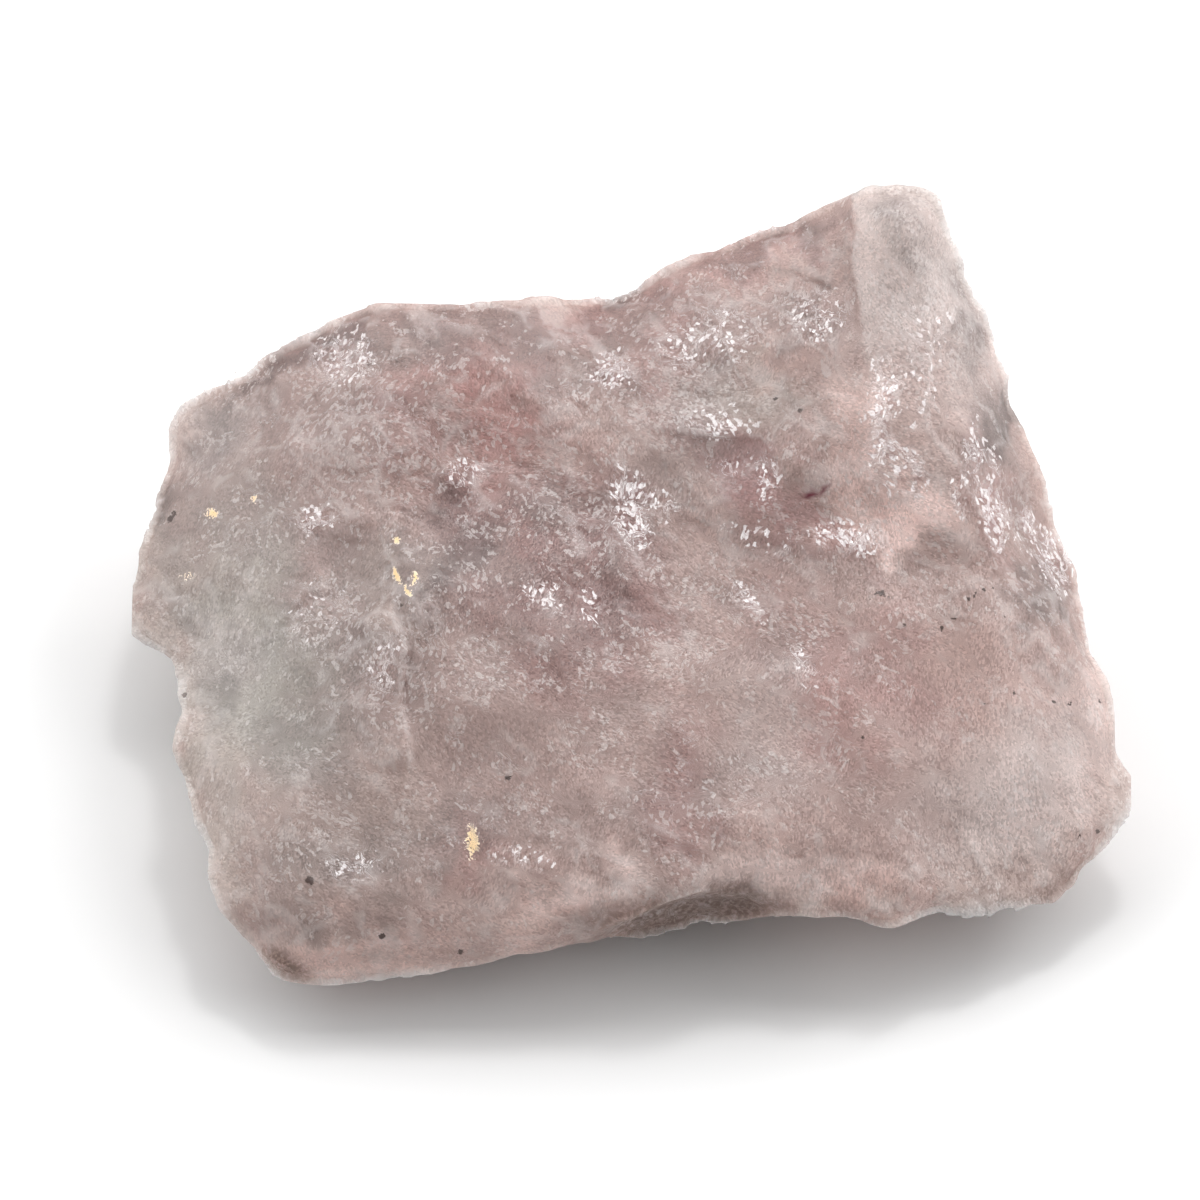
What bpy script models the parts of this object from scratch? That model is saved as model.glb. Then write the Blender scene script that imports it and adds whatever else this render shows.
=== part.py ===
# A rough lump of pale pink beryl, broken on every side, so that no crystal face is left on it.
# It is one solid. It lies on its one flat break, with the ground at z = 0 and the origin under its middle.
# Blender units are metres, with +Z up. The stations below are in millimetres.

import math

import bmesh
import bpy
import numpy as np
from mathutils import Vector, noise
from mathutils.bvhtree import BVHTree
from mathutils.geometry import delaunay_2d_cdt

MM = 0.001

# Survey of the lump
# The lump is measured along a sight line from the front that looks down on it at SIGHT_SLOPE.
# A station is (across, up, height): across and up lie in the plane square to that line, and height is
# above the ground. The survey's zero stands SURVEY_HEIGHT above the ground.
SIGHT_SLOPE = math.radians(55.0)
SURVEY_HEIGHT = 20.0

# The rim, clockwise from the notch at the left end of the back edge.
RIM = [
    (-46.2, 16.3, 13.0), (-45.4, 17.8, 14.5), (-39.0, 21.5, 19.0), (-35.6, 24.2, 21.0),
    (-31.6, 26.2, 23.0), (-23.8, 27.9, 26.5), (-12.5, 28.3, 27.5), (-6.8, 28.0, 26.5),
    (-2.5, 28.8, 27.0), (3.0, 31.7, 29.5), (7.4, 33.1, 31.0), (12.5, 35.4, 33.5),
    (22.0, 38.3, 37.5), (24.8, 39.5, 40.0), (27.3, 40.1, 41.0), (29.8, 39.4, 41.0),
    (31.0, 37.4, 40.0), (33.0, 32.2, 36.0), (34.9, 27.8, 33.0), (36.0, 24.0, 30.0),
    (40.0, 15.4, 24.5), (42.2, 8.0, 20.5), (44.0, 1.0, 17.5), (45.9, -5.0, 15.5),
    (48.2, -12.0, 13.5), (47.7, -15.4, 12.0), (49.9, -20.8, 10.0), (48.0, -24.8, 8.0),
    (45.0, -29.9, 6.0), (41.5, -31.0, 6.0), (37.0, -33.4, 7.0), (33.0, -33.6, 8.0),
    (24.0, -32.8, 10.0), (15.8, -31.9, 11.0), (12.0, -33.0, 7.0), (7.0, -34.2, 4.5),
    (2.4, -35.4, 3.5), (-3.5, -34.4, 5.5), (-8.5, -35.0, 7.5), (-13.0, -36.8, 6.5),
    (-19.5, -38.4, 5.5), (-27.0, -39.9, 5.0), (-34.0, -39.5, 5.0), (-36.6, -37.5, 6.0),
    (-39.0, -33.5, 8.5), (-41.4, -29.6, 10.0), (-43.4, -21.4, 11.5), (-45.2, -16.0, 12.0),
    (-44.6, -12.4, 12.0), (-45.4, -7.6, 11.0), (-48.2, -5.4, 10.5), (-49.8, -2.4, 10.5),
    (-49.0, 3.6, 11.5), (-48.0, 9.6, 12.5), (-45.7, 14.2, 13.0),
]

# Lines on the upper side where two breaks meet. Each is followed by an edge of the survey net.
UPPER_LINES = {
    "lip over the front hollow": [
        (-7.0, -34.2, 11.0), (-3.4, -33.6, 12.0), (3.0, -31.2, 13.5), (7.0, -30.0, 14.0),
        (11.0, -29.7, 13.5), (14.4, -30.8, 12.5),
    ],
    "foot of the lip": [(-2.8, -34.5, 8.5), (3.4, -32.5, 9.0), (7.4, -31.3, 9.5), (11.2, -31.0, 9.5)],
    "edge above the lower left strip": [
        (-34.6, -36.8, 9.0), (-29.0, -36.4, 9.5), (-22.0, -35.4, 10.0), (-13.0, -34.6, 11.0),
    ],
    "left wall of the corner block": [(22.3, 36.6, 39.2), (22.8, 33.0, 38.4), (23.6, 28.5, 37.2)],
    "floor beside the corner block": [(20.9, 36.2, 38.0), (21.3, 32.6, 37.0), (21.8, 29.2, 36.2)],
    "ledge above the hollow": [(3.5, 14.6, 28.4), (7.0, 15.2, 29.2), (13.0, 15.3, 30.2), (16.2, 11.6, 29.8)],
    "foot of the ledge": [(4.0, 12.6, 27.0), (8.0, 12.8, 27.2), (12.4, 12.6, 27.6), (14.4, 9.6, 27.0)],
    "shelf below the hollow": [
        (9.0, 4.8, 23.6), (17.0, 4.6, 24.8), (24.0, 4.2, 25.4), (31.0, 3.6, 25.2),
    ],
    "turn to the right flank": [
        (32.0, 27.0, 36.0), (32.6, 18.0, 32.0), (34.6, 9.5, 28.0), (37.6, 1.0, 24.2), (42.0, -6.6, 19.2),
    ],
}

# Single high and low places of the upper side.
UPPER_PLACES = {
    "back left face": (-33.0, 18.5, 22.0), "back crest left": (-23.0, 20.5, 27.4),
    "back crest middle": (-13.0, 22.0, 28.4), "saddle": (-5.0, 18.5, 26.4), "trough": (-2.0, 10.5, 24.8),
    "hollow floor": (9.0, 8.8, 25.9), "hollow end": (20.0, 7.6, 26.0), "shoulder left": (5.0, 26.0, 30.4),
    "shoulder": (14.0, 24.5, 33.0), "shoulder right": (23.0, 19.0, 33.0),
    "scoop below the back edge": (12.0, 31.0, 33.2), "corner block top": (27.4, 34.5, 40.6),
    "corner block foot": (28.5, 24.0, 36.4), "right bay": (28.0, 11.0, 29.4), "flank": (39.0, 8.0, 23.4),
    "right swell": (36.0, -4.0, 22.8), "lower right face": (26.0, -11.5, 20.0),
    "right corner": (37.0, -21.0, 14.8), "front face right": (17.0, -21.5, 17.0),
    "middle dip": (7.0, -11.5, 19.6), "middle": (-3.0, -1.5, 22.2), "middle left": (-11.0, -16.5, 18.6),
    "front middle": (1.0, -24.5, 16.8), "front bulge": (-12.0, -28.0, 14.8),
    "lower left face": (-24.0, -30.0, 12.6), "left crest": (-20.0, -1.5, 22.4),
    "left dip": (-20.5, -15.0, 18.2), "upper left face": (-25.0, 8.5, 23.4), "left slope": (-34.0, 2.5, 18.8),
    "left end high": (-38.5, 9.0, 17.2), "left end": (-43.5, 2.0, 14.2), "left plate": (-36.0, -9.0, 17.0),
    "left lower face": (-31.0, -20.0, 16.0), "left lower edge": (-38.5, -24.0, 13.4),
    "lower left corner": (-33.0, -31.5, 12.0), "right front edge": (30.0, -29.0, 12.0),
    "right end": (43.6, -24.5, 10.0),
}

# Underside stations are (x, y, height) on the ground plan. The lump lies on the flat break.
FLAT_BREAK = [
    (-31.0, -9.0, 0.0), (-20.0, -18.0, 0.0), (-2.0, -15.5, 0.0), (14.0, -19.0, 0.0), (29.0, -12.0, 0.0),
    (36.0, 2.0, 0.0), (29.0, 16.0, 0.0), (9.0, 22.0, 0.0), (-13.0, 19.0, 0.0), (-31.0, 10.0, 0.0),
]
UNDERSIDE_PLACES = {
    "back face left": (-26.0, 25.5, 12.0), "back face middle": (-7.0, 28.5, 13.0),
    "back face right": (14.0, 31.5, 17.0), "back corner": (29.0, 28.5, 19.0),
    "back foot left": (-17.0, 25.0, 4.0), "back foot right": (19.0, 25.0, 5.0),
    "back left wall": (-38.0, 25.5, 12.0), "left back wall": (-43.5, 18.5, 8.0),
    "left back foot": (-36.0, 15.0, 4.5), "left wall": (-45.5, 5.0, 6.0), "left foot": (-39.0, 2.0, 3.0),
    "left front wall": (-42.5, -14.0, 6.0), "left corner wall": (-38.0, -27.0, 4.5),
    "left front foot": (-34.0, -17.0, 2.5), "right wall": (44.5, -2.0, 9.0), "right foot": (41.0, 5.0, 4.5),
    "right front wall": (46.0, -14.0, 6.5), "right front foot": (39.0, -16.0, 3.5),
    "front left foot": (-22.0, -28.0, 1.8), "front hollow roof": (6.0, -23.0, 3.0),
    "front right roof": (24.0, -25.0, 3.5),
}

# Shell-shaped scars left by blows: (x, y, height) of the centre of the ball that fits each, and its radius.
SCARS = {
    "back face shell": ((-14.0, 46.0, 16.0), 18.0), "back corner shell": ((38.0, 44.0, 24.0), 19.0),
    "back chip": ((4.0, 36.0, 12.0), 8.0), "right end shell": ((59.0, -16.0, -4.0), 15.5),
    "right shell": ((53.0, 8.0, 4.0), 12.5), "left end shell": ((-60.0, 8.0, -5.0), 18.0),
    "left notch": ((-52.6, -5.0, 5.0), 6.5), "front shell": ((18.0, -46.0, -4.0), 19.0),
    "front left chip": ((-44.5, -34.0, 0.0), 8.5), "underside shell": ((-8.0, -31.0, -9.0), 14.5),
}

# Ledges on the upper side, where a thin plate ends. Each has its line in (across, up), the step in mm, which
# falls to the right of the line, and how far the plate stays raised behind it.
LEDGES = {
    "scalloped plate edge": (
        [(-24.0, 5.0), (-22.4, -1.0), (-22.9, -7.0), (-21.6, -12.0), (-23.0, -17.0)], 0.9, 10.0,
    ),
    "left plate edge": ([(-31.0, -0.5), (-36.0, -5.0), (-39.5, -7.5)], 0.5, 8.0),
    "curved lip below the back edge": ([(22.0, 29.8), (17.0, 32.0), (12.0, 31.2), (6.0, 28.0)], -0.6, 6.0),
    "step in the upper left": ([(-35.0, 13.0), (-30.5, 12.0), (-25.0, 14.5)], 0.5, 7.0),
    "front crack": ([(-16.0, -22.0), (-9.0, -18.5), (0.0, -17.0)], 0.4, 7.0),
    "shelf lip": ([(34.0, 3.0), (27.0, 3.4), (18.0, 4.4), (9.0, 4.6)], -0.5, 6.0),
    "bay edge": ([(24.0, 21.0), (25.4, 14.0), (23.6, 8.6)], 0.5, 6.0),
}
LEDGE_SLOPE = 0.9  # how far a ledge takes to rise
LEDGE_END = 0.17  # the share of a ledge's line over which its step dies out, at each end
LEDGE_FALL = 1.5  # how the plate behind a ledge sinks back: 1 is evenly, more is faster at first
WANDER_SIZE, WANDER = 2.9, 0.9  # how a ledge strays from its line
LEDGE_FACING = 0.15, 0.40  # ledges die out where the surface turns this far from the sight line

# Surface relief, in mm
SWELL_SIZE, SWELL_HEIGHT = 16.0, 0.9  # slow waves of a broken face
SHELL_SIZE, SHELL_HEIGHT = 10.0, 2.0  # shallow shell-shaped breaks that meet in ridges
FLAKE_SIZE, FLAKE_HEIGHT = 4.4, 0.7  # flakes within them
FLAKE_SHIFT = (31.0, 7.0, 3.0)  # keeps the flakes' pattern apart from the shells'
SHELL_LEVEL = 0.3  # about the mean of the shells' pattern, which is taken off
TILT_SEED = 53.0  # chooses the shells' tilts
GRAIN = (0.78, -0.62, 0.0)  # the way the breaks run
GRAIN_STRETCH = 1.5  # how much longer they are that way
RIM_ALLOWANCE = 1.0  # what the softening takes off the rim
RIM_STEP = 1.6  # distance between the rim's points
NIBBLE_SIZE, NIBBLE_HEIGHT = 3.4, 0.9  # nibbles in and out along the rim
RIM_FACING = 0.45  # the rim is where the surface turns this far from the sight line
RIM_SHARE = 0.2  # how much of the relief is left there, because the rim's stations have its shape
THIN_SHARE = 0.25  # the relief goes no deeper than this share of the lump's thickness
GROUND_FADE = 2.5  # the relief dies out this close to the ground
GROUND_SNAP = 0.3  # what lies this close to the ground belongs to the flat break

# How the surface is worked
NET_SIZE = 0.62  # mm, edge of the fine net that the relief is worked on
SOFTENING_STEPS = 3  # how often the survey net's straight edges are smoothed
NORMAL_ROUNDS = 4  # how often neighbours share their outward directions
HEIGHT_ROUNDS = 1  # how often they share their heights
TRIANGLES = 9400

STONE_COLOUR = (0.62, 0.47, 0.43, 1.0)
STONE_ROUGHNESS = 0.35


def sight_axes():
    """Unit vectors of the survey: across, up, and towards the eye."""
    rise, run = math.sin(SIGHT_SLOPE), math.cos(SIGHT_SLOPE)
    return np.array((1.0, 0.0, 0.0)), np.array((0.0, rise, run)), np.array((0.0, -run, rise))


def place_of(station):
    """The point (x, y, z) of a survey station, in mm."""
    across, up, height = station
    run = up / math.sin(SIGHT_SLOPE) - (height - SURVEY_HEIGHT) / math.tan(SIGHT_SLOPE)
    return np.array((across, run, height))


def nibbled(station):
    """A rim station moved away from the survey's zero by the rim allowance, and in or out by a nibble."""
    across, up, height = station
    nibble = NIBBLE_HEIGHT * noise.noise(Vector(station) / NIBBLE_SIZE)
    scale = 1.0 + (RIM_ALLOWANCE + nibble) / math.hypot(across, up)
    return across * scale, up * scale, height


def fine_rim():
    """The rim's points, every RIM_STEP or so."""
    stations = []
    for start, end in zip(np.array(RIM), np.roll(RIM, -1, axis=0)):
        count = math.ceil(np.linalg.norm(end - start) / RIM_STEP)
        stations += [start + (end - start) * i / count for i in range(count)]
    return [place_of(nibbled(s)) for s in stations]


def survey_of(points):
    """Where points in mm lie in the survey plane, as columns across and up."""
    across, up, _ = sight_axes()
    raised = points - np.array((0.0, 0.0, SURVEY_HEIGHT))
    return np.column_stack((raised @ across, raised @ up))


def net_over(rim, lines, loops, places):
    """Triangles over the survey plane inside the rim. Returns the points and faces that look at the eye."""
    points = []
    edges = []
    for loop in [rim] + loops:
        start = len(points)
        points += loop
        edges += [(start + i, start + (i + 1) % len(loop)) for i in range(len(loop))]
    for line in lines:
        start = len(points)
        points += line
        edges += [(i, i + 1) for i in range(start, len(points) - 1)]
    points += places
    points = np.array(points)
    flat = [Vector(p) for p in survey_of(points)]
    made, _, faces, origins, _, _ = delaunay_2d_cdt(flat, edges, [], 1, 1e-6)
    if len(made) != len(points):
        raise ValueError("two lines of the survey cross: move a station")
    first = [found[0] for found in origins]
    return points, [[first[i] for i in face] for face in faces]


def survey_mesh():
    """The closed net of both sides, which share the rim."""
    rim = fine_rim()
    lines = [[place_of(s) for s in line] for line in UPPER_LINES.values()]
    places = [place_of(s) for s in UPPER_PLACES.values()]
    upper, upper_faces = net_over(rim, lines, [], places)

    flat_break = [np.array(s) for s in FLAT_BREAK]
    under_places = [np.array(s) for s in UNDERSIDE_PLACES.values()]
    under, under_faces = net_over(rim, [], [flat_break], under_places)

    shift = len(upper) - len(rim)
    faces = list(upper_faces)
    for face in under_faces:
        faces.append([i if i < len(rim) else i + shift for i in reversed(face)])
    points = np.vstack((upper, under[len(rim):])) * MM

    mesh = bpy.data.meshes.new("survey_net")
    mesh.from_pydata([tuple(p) for p in points], [], faces)
    work = bmesh.new()
    work.from_mesh(mesh)
    bmesh.ops.remove_doubles(work, verts=work.verts, dist=1e-6)
    bmesh.ops.recalc_face_normals(work, faces=work.faces)
    work.to_mesh(mesh)
    work.free()
    return mesh


def evaluated_mesh(mesh, *modifiers):
    """The mesh after modifiers, each given as (type, {setting: value})."""
    helper = bpy.data.objects.new("helper", mesh)
    bpy.context.scene.collection.objects.link(helper)
    for kind, settings in modifiers:
        modifier = helper.modifiers.new(kind.lower(), kind)
        for name, value in settings.items():
            setattr(modifier, name, value)
    graph = bpy.context.evaluated_depsgraph_get()
    made = bpy.data.meshes.new_from_object(helper.evaluated_get(graph))
    bpy.data.objects.remove(helper)
    return made


def positions(mesh):
    found = np.empty(len(mesh.vertices) * 3, np.float32)
    mesh.vertices.foreach_get("co", found)
    return found.reshape(-1, 3).astype(np.float64) / MM


def set_positions(mesh, points):
    mesh.vertices.foreach_set("co", (points * MM).astype(np.float32).ravel())
    mesh.update()


def normals_of(mesh):
    found = np.empty(len(mesh.vertices) * 3, np.float32)
    mesh.vertex_normals.foreach_get("vector", found)
    return found.reshape(-1, 3).astype(np.float64)


def shared(mesh, values, rounds):
    """Each point's values averaged with its neighbours' values, as often as rounds says."""
    ends = np.empty(len(mesh.edges) * 2, np.int32)
    mesh.edges.foreach_get("vertices", ends)
    first, second = ends.reshape(-1, 2).T
    count = 1 + np.bincount(ends, minlength=len(values))
    for _ in range(rounds):
        total = values.copy()
        np.add.at(total, first, values[second])
        np.add.at(total, second, values[first])
        values = (total.T / count).T
    return values


def outward(mesh):
    """Unit vectors out of the surface that turn slowly, so that moving along them folds no sharp edge."""
    directions = shared(mesh, normals_of(mesh), NORMAL_ROUNDS)
    return directions / np.linalg.norm(directions, axis=1)[:, None]


def ground_fade(points):
    """0 on the flat break, 1 from GROUND_FADE above the ground."""
    return np.clip((points[:, 2] - GROUND_SNAP) / GROUND_FADE, 0.0, 1.0)


def carve_scars(points):
    """Presses each scar's ball into the lump."""
    fade = ground_fade(points)
    for centre, radius in SCARS.values():
        away = points - np.array(centre)
        distance = np.linalg.norm(away, axis=1)
        push = np.where(distance < radius, radius / np.maximum(distance, 1e-6) - 1.0, 0.0)
        points = points + away * (push * fade)[:, None]
    return points


def ledge_height(flat, line, step, reach):
    """How much a ledge raises each point of the survey plane: all of the step at its line, less behind it."""
    line = np.array(line)
    nearest = np.full(len(flat), np.inf)
    side = np.zeros(len(flat))
    share = np.zeros(len(flat))
    for k in range(len(line) - 1):
        start, along = line[k], line[k + 1] - line[k]
        t = ((flat - start) @ along) / (along @ along)
        gap = flat - (start + np.clip(t, 0.0, 1.0)[:, None] * along)
        distance = np.linalg.norm(gap, axis=1)
        closer = distance < nearest
        nearest = np.where(closer, distance, nearest)
        side = np.where(closer, along[0] * gap[:, 1] - along[1] * gap[:, 0], side)
        share = np.where(closer, (k + np.clip(t, 0.0, 1.0)) / (len(line) - 1), share)
    ends = np.clip(np.minimum(share, 1.0 - share) / LEDGE_END, 0.0, 1.0)
    behind = np.clip(1.0 - nearest / reach, 0.0, 1.0) ** LEDGE_FALL
    rise = np.clip(np.sign(side) * nearest / LEDGE_SLOPE + 0.5, 0.0, 1.0)
    return rise * behind * step * ends


def raise_ledges(points, normals):
    """Raises the plates whose edges show on the upper side."""
    none, full = LEDGE_FACING
    facing = np.clip((normals @ sight_axes()[2] - none) / (full - none), 0.0, 1.0)
    wander = np.array([noise.noise_vector(Vector(p) / WANDER_SIZE) for p in points])
    flat = survey_of(points) + WANDER * wander[:, :2]
    height = sum(ledge_height(flat, *ledge) for ledge in LEDGES.values())
    return points + normals * (height * facing)[:, None]


def along_grain(point):
    """The point in a space shortened along the grain, where a round break is a long one."""
    grain = Vector(GRAIN).normalized()
    return point - grain * (point.dot(grain) * (1.0 - 1.0 / GRAIN_STRETCH))


def break_height(point, size):
    """Shallow tilted shells about as wide as size, which meet in sharp ridges."""
    scaled = point / size
    heights = []
    for centre in noise.voronoi(scaled)[1]:
        tilt = noise.cell_vector(centre * TILT_SEED) - Vector((0.5, 0.5, 0.5))
        gap = scaled - centre
        heights.append(gap.length_squared + gap.dot(tilt))
    return min(heights) - SHELL_LEVEL


def thickness(mesh):
    """How far it is through the lump, straight in from each point."""
    points, normals = positions(mesh), normals_of(mesh)
    tree = BVHTree.FromPolygons(points.tolist(), [tuple(face.vertices) for face in mesh.polygons])
    depth = np.full(len(points), np.inf)
    for i, (point, normal) in enumerate(zip(points, normals)):
        start = point - normal * NET_SIZE / 10.0
        distance = tree.ray_cast(Vector(start), Vector(-normal))[3]
        if distance is not None:
            depth[i] = distance
    return depth


def on_rim(normals):
    """1 on the rim, 0 where the surface faces the sight line or faces away from it."""
    return np.clip(1.0 - np.abs(normals @ sight_axes()[2]) / RIM_FACING, 0.0, 1.0)


def roughen(mesh):
    """Waves, shells and flakes, all along the normal."""
    points, normals = positions(mesh), outward(mesh)
    height = np.empty(len(points))
    for i, p in enumerate(points):
        point = Vector(p)
        grained = along_grain(point)
        swell = noise.fractal(point / SWELL_SIZE, 1.0, 2.0, 3)
        shell = break_height(grained, SHELL_SIZE)
        flake = break_height(grained + Vector(FLAKE_SHIFT), FLAKE_SIZE)
        height[i] = SWELL_HEIGHT * swell + SHELL_HEIGHT * shell + FLAKE_HEIGHT * flake
    height = np.maximum(height, -THIN_SHARE * thickness(mesh))
    height *= 1.0 - (1.0 - RIM_SHARE) * on_rim(normals)
    height = shared(mesh, height, HEIGHT_ROUNDS)
    return points + normals * (height * ground_fade(points))[:, None]


def rest_on_ground(mesh):
    """Makes everything within GROUND_SNAP of the ground part of the flat break."""
    points = positions(mesh)
    points[:, 2] = np.where(points[:, 2] < GROUND_SNAP, 0.0, points[:, 2])
    set_positions(mesh, points)


def centre_on_origin(mesh):
    """Puts the middle of the lump's plan over the origin, and notes where that leaves the survey's zero."""
    points = positions(mesh)
    middle = (points.min(axis=0) + points.max(axis=0)) / 2.0
    set_positions(mesh, points - (middle[0], middle[1], 0.0))
    mesh["survey_zero_mm"] = (-middle[0], -middle[1], SURVEY_HEIGHT)


def stone_mesh():
    """The finished surface of the lump."""
    net = ("REMESH", {"mode": "VOXEL", "voxel_size": NET_SIZE * MM, "adaptivity": 0.0})
    mesh = evaluated_mesh(survey_mesh(), net, ("SMOOTH", {"factor": 0.5, "iterations": SOFTENING_STEPS}))
    rest_on_ground(mesh)
    set_positions(mesh, carve_scars(positions(mesh)))
    set_positions(mesh, raise_ledges(positions(mesh), outward(mesh)))
    set_positions(mesh, roughen(mesh))
    rest_on_ground(mesh)

    fewer = ("DECIMATE", {"ratio": TRIANGLES / (2 * len(mesh.polygons)), "use_collapse_triangulate": True})
    mesh = evaluated_mesh(mesh, ("TRIANGULATE", {}), fewer)
    rest_on_ground(mesh)
    centre_on_origin(mesh)
    mesh.name = "morganite"
    return mesh


def stone_material():
    """Cloudy pale pink beryl."""
    material = bpy.data.materials.new("cloudy_pink_beryl")
    material.use_nodes = True
    shader = material.node_tree.nodes["Principled BSDF"]
    shader.inputs["Base Color"].default_value = STONE_COLOUR
    shader.inputs["Roughness"].default_value = STONE_ROUGHNESS
    shader.inputs["Metallic"].default_value = 0.0
    return material


def main():
    for old in list(bpy.data.objects):
        bpy.data.objects.remove(old)
    stone = bpy.data.objects.new("morganite", stone_mesh())
    stone.data.materials.append(stone_material())
    bpy.context.scene.collection.objects.link(stone)


main()
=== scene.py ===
# %% [markdown]
# # A rough lump of cloudy pink beryl
# The real stone is as long as a hand is wide and was broken off on every side, so no crystal face is left.
# It is cloudy: light goes a few millimetres in and comes back softened, pale where the stone is thin.
# Its breaks are hackly, which means covered in small flakes and steps, and the flakes glint where they face the light.
# We start from the plain solid, give it the fine relief of a break, and then build the stone's finish from nodes.

# %% Load the solid
import math

import bpy
import numpy as np
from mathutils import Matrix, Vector, noise
from mathutils.bvhtree import BVHTree


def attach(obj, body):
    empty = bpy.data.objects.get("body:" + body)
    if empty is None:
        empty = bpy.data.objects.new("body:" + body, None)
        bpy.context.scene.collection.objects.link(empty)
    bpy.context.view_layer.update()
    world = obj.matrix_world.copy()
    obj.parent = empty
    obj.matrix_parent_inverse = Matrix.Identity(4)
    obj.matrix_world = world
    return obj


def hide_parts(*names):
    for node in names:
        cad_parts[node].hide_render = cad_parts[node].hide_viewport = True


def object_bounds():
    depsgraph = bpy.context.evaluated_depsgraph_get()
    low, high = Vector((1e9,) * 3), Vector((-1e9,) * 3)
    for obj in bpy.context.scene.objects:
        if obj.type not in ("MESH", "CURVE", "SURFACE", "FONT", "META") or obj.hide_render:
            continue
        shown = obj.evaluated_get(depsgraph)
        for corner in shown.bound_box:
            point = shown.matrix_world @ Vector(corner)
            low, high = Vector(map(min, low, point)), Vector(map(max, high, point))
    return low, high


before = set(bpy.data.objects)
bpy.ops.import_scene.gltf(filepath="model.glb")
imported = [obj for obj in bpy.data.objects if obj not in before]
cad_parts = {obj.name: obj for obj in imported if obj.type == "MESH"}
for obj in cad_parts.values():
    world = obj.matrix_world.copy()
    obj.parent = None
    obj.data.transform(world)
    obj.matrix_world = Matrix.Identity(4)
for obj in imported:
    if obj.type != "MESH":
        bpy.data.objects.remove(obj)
CAD_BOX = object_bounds()
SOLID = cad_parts["morganite"]
print("the solid has", len(SOLID.data.polygons), "faces")

# %% [markdown]
# ## Finding a place on the stone
# The stone is irregular, so its places are named as a surveyor would: across and up, in millimetres, in the plane
# that is square to one sight line. The line looks down on the stone's front at 55 degrees.
# A patch of colour has only these two numbers for its middle, and reaches through the stone along the line.

# %% The survey's axes
MM = 0.001
SIGHT_SLOPE = math.radians(55.0)
SURVEY_ZERO = np.array([0.12, 1.13, 20.0])
SIGHT = np.array([0.0, -math.cos(SIGHT_SLOPE), math.sin(SIGHT_SLOPE)])
SURVEY_UP = np.array([0.0, math.sin(SIGHT_SLOPE), math.cos(SIGHT_SLOPE)])


def survey(spots):
    """Across and up of each spot, in millimetres."""
    from_zero = spots - SURVEY_ZERO
    return np.stack([from_zero[:, 0], from_zero @ SURVEY_UP], axis=1)


# %% [markdown]
# ## A mesh that is fine enough for a break
# The solid has large flat triangles. Small flakes need points closer together than the flakes are wide.
# One could subdivide each triangle, but then the points crowd where the triangles were small.
# A voxel remesh spreads them evenly, and a little smoothing takes away the solid's own facets.

# %% Remesh
FINE_VOXEL = 0.33
SOFTENING_STEPS = 9


def evaluated(mesh, *modifiers):
    """The mesh after the modifiers, each given as its kind and its settings."""
    holder = bpy.data.objects.new("holder", mesh)
    bpy.context.scene.collection.objects.link(holder)
    for kind, settings in modifiers:
        modifier = holder.modifiers.new(kind.lower(), kind)
        for name, value in settings.items():
            setattr(modifier, name, value)
    graph = bpy.context.evaluated_depsgraph_get()
    made = bpy.data.meshes.new_from_object(holder.evaluated_get(graph), depsgraph=graph)
    bpy.data.objects.remove(holder)
    return made


fine = evaluated(
    SOLID.data.copy(),
    ("REMESH", {"mode": "VOXEL", "voxel_size": FINE_VOXEL * MM}),
    ("SMOOTH", {"factor": 0.5, "iterations": SOFTENING_STEPS}),
)
print("fine mesh:", len(fine.vertices), "points")


# %% [markdown]
# ## Reading and writing all points at once
# A hundred thousand points are slow to visit one by one, so they are moved as one array, in millimetres.

# %% Points as an array
def spots_of(mesh):
    flat = np.empty(len(mesh.vertices) * 3, np.float32)
    mesh.vertices.foreach_get("co", flat)
    return flat.reshape(-1, 3).astype(float) / MM


def directions_of(mesh):
    flat = np.empty(len(mesh.vertices) * 3, np.float32)
    mesh.vertex_normals.foreach_get("vector", flat)
    return flat.reshape(-1, 3).astype(float)


def put_spots(mesh, spots):
    mesh.vertices.foreach_set("co", (spots * MM).astype(np.float32).ravel())
    mesh.update()


def ramp(value, start, end):
    """0 before start, 1 after end, and a smooth rise between."""
    share = np.clip((value - start) / (end - start), 0.0, 1.0)
    return share * share * (3.0 - 2.0 * share)


# %% [markdown]
# ## Flakes
# A break in this stone is made of shallow shells that meet in sharp low ridges, large ones with small ones on them.
# Space is cut into cells. Each cell has a centre at random and a random tilt, and makes a shallow bowl round its
# centre. At each point the lowest bowl wins, so two bowls meet in a ridge.
# Blender's own noise could do it too, but whole arrays are faster, and this way each flake can be tilted.

# %% Shells from cells
def at_random(cells, seed):
    """Three numbers from 0 to 1 for each whole-number cell, always the same ones."""
    cells = cells.astype(np.int64)
    mixed = cells[:, 0] * 73856093 ^ cells[:, 1] * 19349663 ^ cells[:, 2] * 83492791 ^ seed * 40503
    columns = []
    for _ in range(3):
        mixed = (mixed + 0x9E3779B9) & 0xFFFFFFFF
        mixed = ((mixed ^ (mixed >> 16)) * 0x45D9F3B) & 0xFFFFFFFF
        mixed = ((mixed ^ (mixed >> 16)) * 0x45D9F3B) & 0xFFFFFFFF
        mixed = mixed ^ (mixed >> 16)
        columns.append(mixed / 4294967296.0)
    return np.stack(columns, axis=1)


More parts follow.
